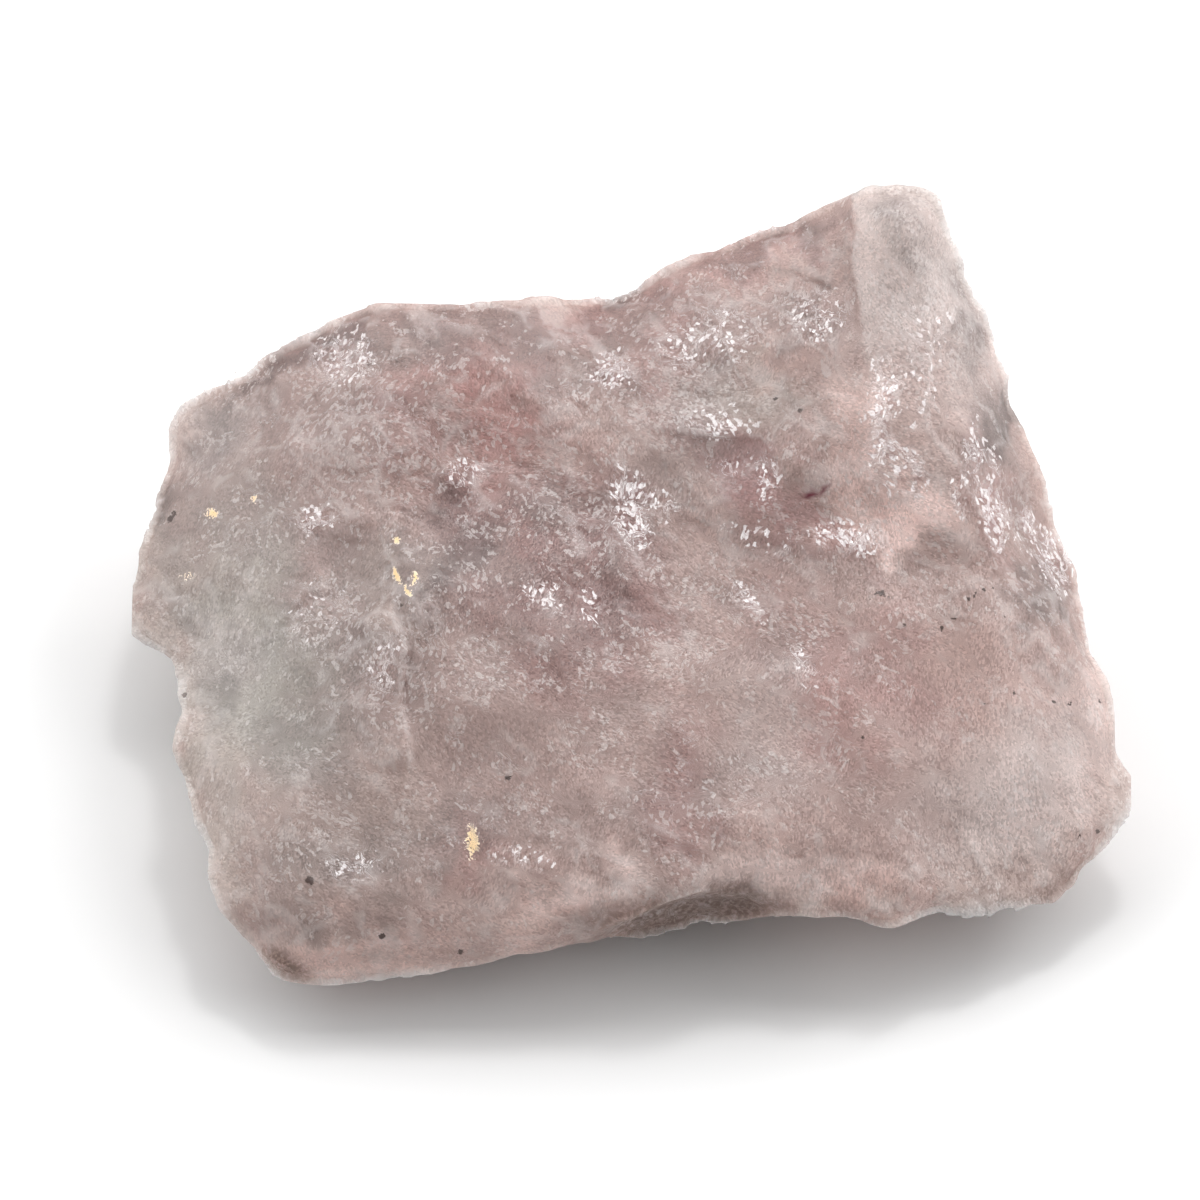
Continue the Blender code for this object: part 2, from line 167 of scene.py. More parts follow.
def shells(spots, size, tilt, bowl, seed):
    """For each spot: the height of its shell as a share of the size, how far the next shell is above it,
    and a number from 0 to 1 that belongs to the shell."""
    places = spots / size
    home = np.floor(places)
    lowest = np.full(len(spots), 9.0)
    second = np.full(len(spots), 9.0)
    tone = np.zeros(len(spots))
    for dx in (-1, 0, 1):
        for dy in (-1, 0, 1):
            for dz in (-1, 0, 1):
                cell = home + (dx, dy, dz)
                centre = at_random(cell, seed)
                gap = places - cell - centre
                lean = (at_random(cell, seed + 1) - 0.5) * 2.0 * tilt
                height = bowl * (gap * gap).sum(axis=1) + (gap * lean).sum(axis=1)
                second = np.minimum(second, np.maximum(lowest, height))
                tone = np.where(height < lowest, (centre[:, 0] * 7.0) % 1.0, tone)
                lowest = np.minimum(lowest, height)
    return lowest - lowest.mean(), second - lowest, tone


# %% [markdown]
# ## Soft ovals
# Much of what follows belongs to one part of the stone only: a smooth break, a cloud of colour, a stain.
# Each such part is a soft oval: its middle across and up, its two half widths, its turn in degrees, its strength.

# %% Ovals
def oval(places, across, up, half_across, half_up, turn, strength):
    angle = math.radians(turn)
    gap = places - (across, up)
    along = (gap[:, 0] * math.cos(angle) + gap[:, 1] * math.sin(angle)) / half_across
    beside = (gap[:, 1] * math.cos(angle) - gap[:, 0] * math.sin(angle)) / half_up
    far = np.sqrt(along * along + beside * beside)
    return strength * (1.0 - ramp(far, 0.35, 1.35))


def clouds(places, ovals):
    """How much of a colour there is at each place: the ovals laid over each other."""
    clear = np.ones(len(places))
    for one in ovals:
        clear *= 1.0 - oval(places, *one)
    return 1.0 - clear


# %% [markdown]
# ## Steps
# Here and there one break ends at a sharp edge and the next lies a little lower. Such a step follows a line of
# places. The stone is raised on the line's left, most of all at the line, and falls back to its old height further
# away, so only the edge itself stands out.

# %% Steps along lines
def line_gap(places, line):
    """How far each place is to the left of the line, negative on its right, and how far along it lies, 0 to 1."""
    nearest = np.full(len(places), 1e9)
    side = np.zeros(len(places))
    share = np.zeros(len(places))
    lengths = [math.dist(a, b) for a, b in zip(line, line[1:])]
    before = 0.0
    for (a, b), length in zip(zip(line, line[1:]), lengths):
        a, b = np.array(a), np.array(b)
        run = (b - a) / length
        along = np.clip((places - a) @ run, 0.0, length)
        gap = places - a - along[:, None] * run
        far = np.hypot(gap[:, 0], gap[:, 1])
        left = run[0] * gap[:, 1] - run[1] * gap[:, 0]
        nearer = far < nearest
        nearest = np.where(nearer, far, nearest)
        side = np.where(nearer, np.where(left >= 0.0, far, -far), side)
        share = np.where(nearer, (before + along) / sum(lengths), share)
        before += length
    return side, share


def step_height(places, line, rise, reach):
    side, share = line_gap(places, line)
    ends = ramp(share, 0.0, 0.15) * (1.0 - ramp(share, 0.85, 1.0))
    return rise * ends * ramp(side, -STEP_WIDTH, 0.0) * (1.0 - ramp(side, 0.0, reach))


def step_edge(places, line, width):
    side, share = line_gap(places, line)
    ends = ramp(share, 0.0, 0.1) * (1.0 - ramp(share, 0.9, 1.0))
    return ends * (1.0 - ramp(np.abs(side), width * 0.3, width))


def noise_at(spots, size, seed):
    shift = Vector((seed * 17.3, seed * 5.1, seed * 9.7))
    return np.array([noise.fractal(Vector(spot) / size + shift, 0.7, 2.1, 3) for spot in spots])


STEP_WIDTH = 0.5
STEPS = {
    "edge of the left plate": ([(-22.0, -19.5), (-21.8, -15.5), (-22.8, -12.0), (-22.6, -6.5), (-23.6, -0.5)], 1.1, 7.0),
    "upper edge of the left strip": ([(-39.5, -7.0), (-37.0, -5.5), (-32.0, -1.0), (-29.0, 0.0)], 0.6, 5.0),
    "ledge above the hollow": ([(16.0, 10.5), (15.0, 12.5), (13.0, 14.8), (7.0, 15.0), (1.0, 16.0)][::-1], 0.3, 5.0),
    "lip of the scoop": ([(7.0, 32.3), (13.0, 32.3), (17.0, 31.5), (22.0, 29.5)], 0.4, 4.0),
    "edge of the right flank": ([(46.5, -11.5), (43.0, -7.5), (36.0, 4.5), (33.0, 11.5), (29.5, 15.5), (30.0, 32.5)], 0.5, 5.0),
    "joint beside the block": ([(22.4, 38.5), (22.8, 35.5), (22.3, 32.5), (22.9, 29.0), (23.3, 25.0)], 0.55, 8.0),
}

# %% [markdown]
# ## Carving the breaks
# Three sizes of shell are laid over the stone: broad ones of 5 mm, flakes of 2.4 mm and chips of 1.2 mm.
# The spots are first pushed about a little, so that the ridges wander, and stretched along the stone's grain.
# The flat break that the stone rests on stays flat, so the relief fades out there.

# %% Carve
GRAIN = np.array([0.78, -0.62, 0.0])
GRAIN_STRETCH = 0.45
WANDER_SIZE, WANDER = 3.0, 0.7
CALMING_STEPS = 400
CALM = [
    (27.0, -14.0, 20.0, 15.0, -10, 1.0), (8.0, -14.0, 14.0, 14.0, 0, 1.0), (-12.0, -13.0, 13.0, 13.0, 0, 0.9),
    (-36.0, -14.0, 10.0, 15.0, 0, 0.9), (26.0, 24.0, 6.0, 14.0, 0, 0.8), (-40.0, 8.0, 8.0, 8.0, 0, 0.8),
    (-22.0, -27.0, 12.0, 8.0, 0, 0.7), (-10.0, 4.0, 12.0, 8.0, 0, 0.6), (12.0, 33.0, 9.0, 5.0, 15, 0.6),
    (14.0, 11.0, 8.0, 5.0, -20, 0.6), (36.0, 8.0, 5.0, 14.0, 20, 0.7),
]
LAYERS = (
    # size, tilt, bowl, height in mm, seed
    (5.2, 0.7, 0.45, 0.24, 11),
    (2.4, 0.9, 0.35, 0.17, 23),
    (1.2, 1.1, 0.3, 0.13, 37),
)


def wandered(spots):
    moved = np.empty_like(spots)
    for row, spot in enumerate(spots / WANDER_SIZE):
        moved[row] = noise.noise_vector(Vector(spot))
    return spots + moved * WANDER


def with_grain(spots):
    along = (spots @ GRAIN)[:, None]
    return spots - along * GRAIN * GRAIN_STRETCH


spots = spots_of(fine)
directions = directions_of(fine)
calm = clouds(survey(spots), CALM) * ramp(directions @ SIGHT, 0.3, 0.6)
calmer = evaluated(fine.copy(), ("SMOOTH", {"factor": 0.5, "iterations": CALMING_STEPS}))
evened = ramp(directions @ SIGHT, 0.3, 0.6) * (0.62 + 0.3 * calm)
spots += (spots_of(calmer) - spots) * evened[:, None]
seeds = with_grain(wandered(spots))
relief = np.zeros(len(spots))
upward = ramp(directions @ SIGHT, 0.2, 0.5)
bent = survey(spots) + 0.35 * np.stack([noise_at(spots, 2.0, seed) for seed in (21, 22)], axis=1)
for name, (line, rise, reach) in STEPS.items():
    relief += step_height(bent, line, rise, reach) * upward
for size, tilt, bowl, height, seed in LAYERS:
    layer, _, _ = shells(seeds, size, tilt, bowl, seed)
    relief += np.clip(layer, -1.0, 1.0) * height
    print("shells of", size, "mm reach", round(float(layer.max() - layer.min()) * height, 2), "mm")

free = 1.0 - ramp(-directions[:, 2], 0.5, 0.9) * (1.0 - ramp(spots[:, 2], 0.2, 2.5))
free *= ramp(spots[:, 2], 0.05, 1.2) * (1.0 - 0.88 * calm)
rim = 1.0 - ramp(np.abs(directions @ SIGHT), 0.1, 0.45)
spots += directions * (relief * np.maximum(free, 0.55 * rim * ramp(spots[:, 2], 0.05, 1.2)))[:, None]

# %% [markdown]
# ## Corners that stand out
# The solid's rim is a little rounder than the real one. At a few places of the outline the stone is moved by about a
# millimetre: middle across and up, the two half widths, then how far it moves across and up.

# %% Outline
NUDGES = [
    (-41.5, 19.5, 6.0, 5.0, -0.7, 0.9), (-46.0, 16.5, 3.0, 3.0, -1.1, 0.5), (-49.0, -3.0, 4.0, 4.0, -1.3, -0.3),
    (-45.5, -9.0, 3.0, 2.5, 0.4, 0.0), (41.0, 16.5, 4.0, 4.5, -1.5, 0.0), (35.7, 25.5, 3.5, 5.0, 0.6, 0.2),
    (49.5, -21.0, 3.5, 3.0, 0.9, 0.0), (46.3, -30.5, 3.5, 3.0, -0.8, 0.6),
]
for across, up, half_across, half_up, move_across, move_up in NUDGES:
    near = oval(survey(spots), across, up, half_across, half_up, 0, 1.0)
    spots[:, 0] += near * move_across
    spots += (near * move_up)[:, None] * SURVEY_UP
print("places of the outline moved:", len(NUDGES))

# %% [markdown]
# ## Staying inside the solid's box
# The fine stone has to be no larger than the solid that stands for it, so the few points that reach
# past the solid's box are brought back to it.

# %% Keep to the box
BOX_LOW = np.array(CAD_BOX[0]) / MM
BOX_HIGH = np.array(CAD_BOX[1]) / MM
outside = ((spots < BOX_LOW) | (spots > BOX_HIGH)).any(axis=1).sum()
spots = np.clip(spots, BOX_LOW, BOX_HIGH)
put_spots(fine, spots)
print("points brought back to the box:", int(outside))

# %% [markdown]
# ## Fewer triangles where the stone is plain
# A collapse takes away points where the surface is nearly flat and keeps them along the ridges.

# %% Thin out
MOST_TRIANGLES = 196000
triangles = sum(len(face.vertices) - 2 for face in fine.polygons)
stone_mesh = evaluated(
    fine,
    ("TRIANGULATE", {}),
    ("DECIMATE", {"ratio": min(1.0, MOST_TRIANGLES / triangles)}),
)
stone_mesh.shade_smooth()
stone = bpy.data.objects.new("rough_stone", stone_mesh)
bpy.context.scene.collection.objects.link(stone)
print("triangles:", triangles, "thinned to", len(stone_mesh.polygons))

# %% [markdown]
# ## Where the colours lie
# The stone isn't one pink. Rose clouds lie in its middle and along its back edge, the left end is a greenish grey,
# and two corners are milky. Each cloud is a soft oval: its middle across and up, its two half widths, its turn
# in degrees and its strength. The ovals' edges are pushed about by noise, so that none looks drawn.

# %% The clouds
ROSE = [
    (-15.0, 17.5, 9.5, 8.0, -10, 1.0), (-5.5, 1.5, 8.5, 10.5, 20, 1.0), (10.5, 33.5, 13.0, 3.6, 16, 0.55),
    (22.5, -9.5, 9.0, 8.5, 10, 0.6), (5.0, -19.5, 3.5, 8.0, -8, 0.7), (13.0, 10.0, 8.0, 3.6, -32, 0.8),
    (21.0, 6.0, 5.0, 3.0, -15, 0.35), (0.0, 27.0, 9.0, 4.0, 10, 0.6), (-15.0, -26.0, 4.0, 4.0, 0, 0.6),
    (36.5, 8.0, 3.0, 8.0, 20, 0.4), (-8.0, 26.0, 14.0, 2.5, 0, 0.4), (-16.0, 5.0, 6.0, 7.5, 0, 0.95),
    (-8.0, 8.0, 8.0, 3.5, 0, 0.7), (-22.0, 15.5, 6.0, 4.0, 0, 0.7), (-33.0, 24.0, 7.0, 3.0, 25, 0.6),
    (4.0, 20.0, 6.0, 6.0, 0, 0.55), (-6.0, -5.5, 7.0, 6.0, 0, 0.6), (14.0, -4.0, 4.0, 7.0, 0, 0.35),
]
SAGE = [
    (-38.5, -8.0, 9.5, 12.0, 15, 1.0), (-30.0, -22.0, 12.0, 12.0, 0, 0.25), (-40.0, 8.0, 6.0, 8.0, 0, 0.3),
    (-25.0, -1.0, 4.0, 7.0, 0, 0.3), (12.0, 19.0, 6.0, 4.0, 0, 0.4), (-42.0, -22.0, 4.0, 12.0, 10, 0.5),
    (-47.0, 2.0, 3.0, 6.0, 0, 0.4),
]
MILK = [
    (27.5, 31.0, 4.6, 12.0, -4, 1.0), (38.0, -21.5, 9.5, 7.5, 20, 0.9), (-43.0, 16.0, 6.0, 4.0, 30, 0.6),
    (-41.0, -7.0, 6.0, 5.0, 0, 0.55), (3.0, 12.0, 6.0, 7.0, -20, 0.25), (7.0, 18.5, 7.0, 3.5, 0, 0.3),
    (14.5, -13.0, 6.0, 8.0, 10, 0.35), (29.0, 13.0, 5.0, 6.0, 0, 0.35), (6.0, -29.5, 22.0, 2.0, 3, 0.5),
    (46.5, -15.0, 4.0, 9.0, 0, 0.45), (29.0, 6.5, 6.0, 3.5, -15, 0.4), (22.5, 18.0, 3.0, 6.0, 0, 0.3),
]
DEEP = [
    (12.0, 10.5, 8.0, 3.6, -32, 1.0), (0.0, -2.0, 4.0, 4.0, 0, 0.3), (20.0, 3.0, 9.0, 1.6, -6, 0.4),
]
CLOUD_WANDER_SIZE, CLOUD_WANDER = 6.0, 3.2


spots = spots_of(stone_mesh)
directions = directions_of(stone_mesh)
places = survey(spots)
push = np.stack([noise_at(spots, CLOUD_WANDER_SIZE, 1), noise_at(spots, CLOUD_WANDER_SIZE, 2)], axis=1)
pushed = places + push * CLOUD_WANDER
weights = {name: clouds(pushed, ovals) for name, ovals in
           (("rose", ROSE), ("sage", SAGE), ("milk", MILK), ("deep", DEEP))}
joint_gap = line_gap(places + push * 0.3, STEPS["joint beside the block"][0])[0]
block = ramp(joint_gap, -0.3, 0.3) * ramp(places[:, 1], 6.0, 34.0) * ramp(places[:, 0], 20.0, 21.0)
weights["milk"] = np.maximum(weights["milk"] * (1.0 - 0.8 * ramp(places[:, 1], 24.0, 28.0) * ramp(-joint_gap, 0.0, 0.5)
                                               * ramp(places[:, 0], 15.0, 17.0)), block)

# %% [markdown]
# ## Glinting breaks, stains and specks
# Some breaks are fresher and glint more. Brown dirt sits in the hollow under the front edge and at the lower left
# corner. A few black specks and a dotted line of them lie on the surface, so they're only painted where the
# surface faces up the sight line.

# %% Surface marks
TOP_BREAK = (0.085, -0.029, 0.996)
SIDE_BREAK = (0.49, 0.0, 0.87)
GLINTS = [
    (TOP_BREAK, (1.1, 8.9, 3.6, 2.0, -25, 1.0)), (TOP_BREAK, (0.6, 5.3, 1.6, 2.6, 25, 1.0)),
    (TOP_BREAK, (12.5, 5.0, 4.5, 1.1, -10, 0.6)), (TOP_BREAK, (21.9, 5.2, 3.8, 2.0, -12, 1.0)),
    (TOP_BREAK, (14.3, 10.6, 1.5, 2.0, 10, 0.9)), (TOP_BREAK, (-8.6, -0.9, 1.4, 1.4, 0, 0.7)),
    (TOP_BREAK, (-3.6, -2.0, 1.1, 1.9, 20, 0.6)), (TOP_BREAK, (-1.8, 21.5, 2.4, 2.0, 0, 0.9)),
    (TOP_BREAK, (27.5, 11.8, 1.6, 3.0, 0, 0.7)),
    (TOP_BREAK, (32.8, 9.4, 1.2, 2.8, 0, 0.7)), (TOP_BREAK, (25.0, 17.0, 1.8, 7.0, 0, 0.8)),
    (TOP_BREAK, (29.0, 22.0, 2.5, 6.0, 0, 0.35)), (TOP_BREAK, (10.3, 11.6, 1.5, 1.2, 0, 0.6)),
    (TOP_BREAK, (-29.0, 22.5, 3.6, 3.6, 0, 0.7)), (TOP_BREAK, (-16.6, 10.6, 1.8, 1.8, 0, 0.6)),
    (TOP_BREAK, (-31.5, 6.4, 2.6, 1.4, 20, 0.7)), (TOP_BREAK, (-24.5, -8.5, 1.6, 4.0, -10, 0.5)),
    (TOP_BREAK, (-31.0, -3.0, 4.0, 4.0, 0, 0.25)), (TOP_BREAK, (-10.0, -27.2, 3.6, 1.2, -5, 0.7)),
    (TOP_BREAK, (8.0, 24.5, 5.0, 3.0, 20, 0.5)), (TOP_BREAK, (18.5, 27.0, 3.0, 3.0, 0, 0.5)),
    (TOP_BREAK, (-27.0, -28.0, 3.0, 2.0, 0, 0.4)), (TOP_BREAK, (9.0, 16.5, 4.0, 2.0, 0, 0.5)),
    (TOP_BREAK, (12.0, -1.5, 3.4, 0.9, -50, 0.6)), (TOP_BREAK, (18.2, -8.4, 3.4, 0.7, -52, 0.6)),
    (SIDE_BREAK, (36.7, 7.4, 1.5, 3.2, 17, 1.0)), (SIDE_BREAK, (40.0, 6.4, 1.1, 1.7, 10, 1.0)),
    (SIDE_BREAK, (42.3, 2.8, 1.6, 3.6, 24, 1.0)), (SIDE_BREAK, (34.4, 13.5, 1.2, 3.6, 12, 0.7)),
    (SIDE_BREAK, (36.6, 12.5, 0.8, 3.0, 15, 0.6)),
]
FROSTY = [
    (-31.0, -4.0, 5.0, 5.0, 0, 0.9), (-24.5, -7.5, 3.0, 7.0, -10, 0.9), (-22.0, -9.0, 2.0, 6.0, 0, 0.7),
    (6.9, -0.5, 4.5, 3.0, -10, 0.6), (4.3, -6.7, 5.0, 3.0, -10, 0.9), (-6.3, -9.0, 3.4, 0.9, -12, 1.0),
    (12.5, -1.8, 5.0, 1.4, -50, 1.0), (17.8, -8.0, 5.0, 1.2, -52, 1.0), (22.0, -15.0, 3.0, 1.0, -50, 0.7),
    (-12.0, -21.0, 6.0, 1.2, 27, 0.6), (-17.0, -7.0, 6.0, 7.0, 0, 0.5), (-36.0, 5.0, 7.0, 3.0, 10, 0.5),
    (-5.0, 6.0, 6.0, 5.0, 0, 0.6), (2.0, 16.0, 7.0, 4.0, -20, 0.7), (24.0, 12.0, 6.0, 8.0, 0, 0.7),
    (-28.0, 18.0, 8.0, 6.0, 0, 0.6), (32.0, -3.0, 6.0, 3.0, 0, 0.5), (8.0, 25.0, 12.0, 5.0, 15, 0.6),
    (-40.0, -6.0, 6.0, 3.0, 30, 0.6), (-10.0, 12.0, 7.0, 7.0, 0, 0.5), (10.0, -24.0, 10.0, 4.0, 0, 0.4),
    (37.5, 4.0, 4.0, 10.0, 20, 0.5), (-30.0, -26.0, 4.0, 6.0, 0, 0.4), (6.0, 18.5, 8.0, 3.5, 0, 0.9),
    (28.0, 27.0, 5.0, 10.0, 0, 0.8), (-24.0, 15.0, 12.0, 8.0, 20, 0.5),
]
# Painted highlight: small ovals where golden glints are painted into the colour.
PAINTED_GOLDEN_GLINTS = [
    (-23.3, 0.9, 0.4, 1.0, 25, 1.0), (-22.2, -0.6, 0.4, 0.9, 35, 1.0), (-21.6, 0.7, 0.4, 0.8, -10, 1.0),
    (-15.7, -25.4, 0.9, 2.2, 0, 0.9), (-42.1, 7.1, 1.2, 0.5, -20, 1.0), (-44.5, 1.0, 1.5, 0.8, 0, 0.5),
    (-37.8, 8.5, 0.5, 0.5, 0, 0.9), (-23.3, 4.4, 0.5, 0.5, 0, 1.0),
]
STAINS = [
    (6.0, -33.0, 11.0, 3.2, 6, 1.0), (-34.5, -37.6, 2.8, 2.4, -30, 1.0), (14.0, 18.0, 3.5, 2.6, 0, 0.35),
    (-22.0, -36.5, 8.0, 1.2, 3, 0.4), (44.0, -29.0, 3.5, 1.2, 30, 0.4),
]
SPECKS = [
    (-46.2, 7.2, 0.35), (-46.6, 6.6, 0.3), (-31.7, -29.2, 0.5), (-24.5, -34.7, 0.35), (-12.2, -19.0, 0.2),
    (-44.7, -11.0, 0.35), (17.0, 17.4, 0.3), (14.6, 18.6, 0.25), (-16.8, -36.3, 0.3), (-22.8, -2.0, 0.2),
    (24.4, -0.6, 0.3), (25.2, -0.9, 0.3), (26.2, -1.4, 0.2), (24.0, -1.4, 0.2), (27.2, -4.0, 0.25),
    (32.8, -1.8, 0.25), (33.6, -1.4, 0.25), (34.4, -1.0, 0.25), (35.2, -0.5, 0.25), (36.0, -0.2, 0.2),
    (31.0, -4.2, 0.25), (32.2, -3.4, 0.25), (30.2, -4.0, 0.2), (37.2, -3.2, 0.2), (34.5, -9.4, 0.2),
    (31.0, -10.4, 0.2), (35.4, -11.8, 0.25), (38.2, -10.6, 0.25), (40.8, -11.8, 0.2), (42.2, -11.6, 0.2),
    (43.8, -11.8, 0.25), (47.0, -11.6, 0.25), (23.0, -15.0, 0.15), (44.6, -25.0, 0.3), (46.6, -24.6, 0.25),
]
CRACKS = [(18.0, 9.0, 0.9, 0.35, 15, 1.0), (19.4, 9.6, 0.9, 0.25, 50, 0.8)]
# Paler ovals: partly the stone's own paler tone, partly painted light on front and lower parts that stand in shade.
PALER_TONE_AND_PAINTED_LIGHT = [
    (27.0, 16.0, 5.0, 6.0, 0, 0.10), (36.0, -9.5, 8.0, 7.0, 0, 0.22), (40.0, -22.5, 8.0, 7.0, 0, 0.22),
    (16.0, -24.5, 9.0, 6.0, 0, 0.15), (-28.0, -36.5, 10.0, 3.5, 0, 0.52), (28.0, 22.0, 5.0, 6.0, 0, 0.08),
    (0.0, -28.5, 9.0, 2.5, 0, 0.08), (22.3, 15.0, 3.1, 7.5, 0, 0.46), (28.0, 7.0, 5.8, 3.4, -20, 0.68),
    (24.0, 34.0, 4.0, 4.5, 0, 0.18), (-33.0, 10.5, 3.0, 2.5, 0, 0.10), (-41.0, -1.5, 6.0, 3.5, -20, 0.19),
    (6.8, 6.5, 3.5, 3.0, 0, 0.17), (32.0, -14.0, 3.5, 10.0, 0, 0.09), (46.0, -11.7, 3.6, 3.4, -20, 0.20),
    (12.0, -29.5, 5.0, 2.5, 0, 0.22), (23.0, -30.0, 5.0, 3.0, 0, 0.30), (-6.0, -31.5, 6.5, 3.5, 0, 0.36),
    (16.0, 22.5, 5.0, 2.0, 0, 0.18), (-20.0, -32.0, 18.0, 4.0, 5, 0.11), (20.0, -29.0, 14.0, 3.0, 0, 0.10),
    (-20.0, -37.0, 14.0, 3.0, 8, 0.12), (15.0, 30.7, 8.0, 2.0, 0, 0.08), (-14.0, 18.0, 4.0, 3.0, 0, 0.08),
    (-3.0, 13.0, 3.5, 4.0, 0, 0.09), (8.0, -25.5, 4.0, 3.0, 0, 0.09),
]
# Darker ovals: partly the stone's own darker tone, partly painted shade on rims and faces that the lights make too
# bright.
DARKER_TONE_AND_PAINTED_SHADE = [
    (-6.0, -0.5, 10.0, 8.0, 0, 0.34), (5.0, -21.0, 5.0, 8.0, 0, 0.24), (-27.0, -28.5, 8.0, 7.0, 0, 0.28),
    (-13.0, -11.5, 8.0, 8.0, 0, 0.09), (38.0, 8.0, 4.0, 13.0, 20, 0.12), (28.0, 38.2, 4.5, 3.0, 0, 0.24),
    (-38.0, 0.0, 13.0, 17.0, 0, 0.23), (-33.0, 20.0, 10.0, 6.0, 0, 0.12), (7.0, 18.5, 8.0, 5.0, 0, 0.16),
    (3.0, 26.5, 10.0, 3.5, 0, 0.16), (-24.0, -8.0, 5.5, 8.0, 0, 0.21), (-33.5, 24.0, 8.5, 3.0, 25, 0.40),
    (-16.0, 25.5, 13.0, 3.5, 0, 0.28), (-4.0, 22.0, 8.0, 3.0, 0, 0.16), (0.0, 29.7, 4.0, 2.0, 40, 0.28),
    (13.7, 34.7, 7.2, 2.3, 20, 0.36), (32.9, 28.0, 3.0, 7.4, 20, 0.38), (36.5, 16.0, 3.6, 4.6, 8, 0.50),
    (-18.2, 3.0, 5.0, 7.0, -20, 0.54), (-8.0, 8.0, 8.0, 3.5, 0, 0.25), (0.5, 6.0, 4.0, 4.0, 0, 0.18),
    (-32.0, -17.0, 6.5, 5.0, 0, 0.28), (-16.5, -24.0, 5.5, 4.0, 0, 0.28), (-5.0, -23.5, 8.0, 3.5, 0, 0.15),
    (-3.0, -10.0, 5.5, 6.0, 0, 0.17), (13.0, -19.5, 6.5, 4.0, 0, 0.20), (16.5, -6.5, 7.0, 4.0, 0, 0.15),
    (12.0, -1.5, 3.0, 3.0, 0, 0.12), (40.3, -0.5, 4.0, 4.0, -10, 0.42), (41.0, -17.0, 5.0, 3.5, -20, 0.11),
    (-23.0, 15.3, 6.8, 3.7, 0, 0.21), (-42.4, 16.7, 4.6, 2.8, 30, 0.25), (-47.8, 7.8, 2.5, 3.5, -10, 0.34),
    (-42.2, -12.0, 3.0, 4.0, 0, 0.22), (17.0, 26.5, 5.0, 3.0, 0, 0.19), (29.0, 26.0, 3.0, 4.0, 0, 0.10),
    (-26.0, 23.0, 4.0, 2.5, 0, 0.18), (-9.5, 9.0, 4.0, 3.0, 0, 0.12), (7.0, 17.0, 4.0, 2.5, 0, 0.16),
    (0.5, -27.5, 3.0, 2.5, 0, 0.14), (-27.5, -28.5, 3.0, 2.5, 0, 0.14), (-30.0, -9.5, 3.0, 4.0, 0, 0.12),
    (-28.0, -19.0, 5.0, 3.0, 0, 0.12), (4.0, 31.0, 5.0, 2.0, 25, 0.14), (8.0, 25.0, 7.0, 2.5, 15, 0.11),
    (-13.0, -8.0, 5.0, 3.0, 0, 0.08), (-20.0, 26.5, 5.0, 2.0, 0, 0.10), (-8.0, 19.5, 8.0, 3.0, 0, 0.10),
]
facing = ramp(directions @ SIGHT, 0.1, 0.4)
# The first weight marks where golden glints are painted; the cracks are real marks.
for name, ovals in (("painted_gold_glint", PAINTED_GOLDEN_GLINTS), ("crack", CRACKS)):
    weights[name] = clouds(places + push * 0.3, ovals) * facing
far_side = 1.0 - ramp(directions @ SIGHT, -0.3, 0.1)
weights["glint"] = clouds(places + push * 1.2, [one for _, one in GLINTS]) * facing
weights["glint"] += 0.3 * ramp(noise_at(spots, 4.0, 15), 0.1, 0.5) * far_side
turn = np.zeros_like(spots)
for faces, one in GLINTS:
    near = oval(places + push * 1.2, *one) * facing
    turn += near[:, None] * (np.array(faces) - directions) * 0.85
weights["stain"] = clouds(places + push * 1.0, STAINS)
speck = np.zeros(len(spots))
for across, up, radius in SPECKS:
    far = np.hypot(places[:, 0] - across, places[:, 1] - up)
    speck = np.maximum(speck, 1.0 - np.clip(far / radius - 0.4, 0.0, 1.2) / 1.2)
weights["speck"] = speck * facing

# %% [markdown]
# ## Mottling and pale ridges
# A cloudy stone is mottled at every size. Noise is worked out once for each point and kept there, which is faster
# than noise in the shader. The shade weight also carries painted light and painted shade from the paler and darker
# ovals, and a painted shade along the rim. The ridges between the flakes are bruised and so a little paler, and the
# edges of the steps get a thin painted highlight.

# %% Mottling
GRAIN_LENGTH, GRAIN_WIDTH, SWIRL = 0.26, 0.16, 3.5
STREAK_LENGTH, STREAK_WIDTH = 5.0, 1.3
MAIN_DIRECTION, DIRECTION_SPREAD = 118.0, 110.0
hue = 0.5 + 0.5 * noise_at(spots, 5.5, 3)
weights["cloud"] = 0.5 + 0.5 * noise_at(spots, 2.4, 4)
weights["rose"] *= 0.45 + 0.55 * ramp(hue, 0.25, 0.6)
seeds = with_grain(wandered(spots))
_, _, broad_tone = shells(seeds, *LAYERS[0][:3], LAYERS[0][4])
_, ridge_far, small_tone = shells(seeds, *LAYERS[1][:3], LAYERS[1][4])
hackly = 1.0 - clouds(places, CALM)
shade = 0.94 + 0.04 * (hue - 0.5) + (0.03 + 0.09 * hackly) * (broad_tone - 0.5)
shade += (0.03 + 0.11 * hackly) * (small_tone - 0.5)
shade += 0.06 * (weights["cloud"] - 0.5)
# Painted light and painted shade: the paler and darker ovals raise or lower the shade weight, and so the colour.
for ovals, sign in ((PALER_TONE_AND_PAINTED_LIGHT, 1.0), (DARKER_TONE_AND_PAINTED_SHADE, -1.0)):
    for one in ovals:
        shade += sign * oval(pushed, *one) * (1.0 - 0.7 * far_side)
# Painted shade: the band along the rim, where the stone turns from the sight line and faces up, is darkened against
# the back light.
painted_rim_shade = (1.0 - ramp(np.abs(directions @ SIGHT), 0.1, 0.5)) * ramp(directions @ SURVEY_UP, -0.3, 0.2)
shade -= 0.3 * painted_rim_shade
weights["shade"] = shade
weights["pale_ridge_and_edge_highlight"] = (1.0 - ramp(ridge_far, 0.0, 0.16)) * ramp(noise_at(spots, 3.2, 6) + 0.5 * hackly, 0.1, 0.6)
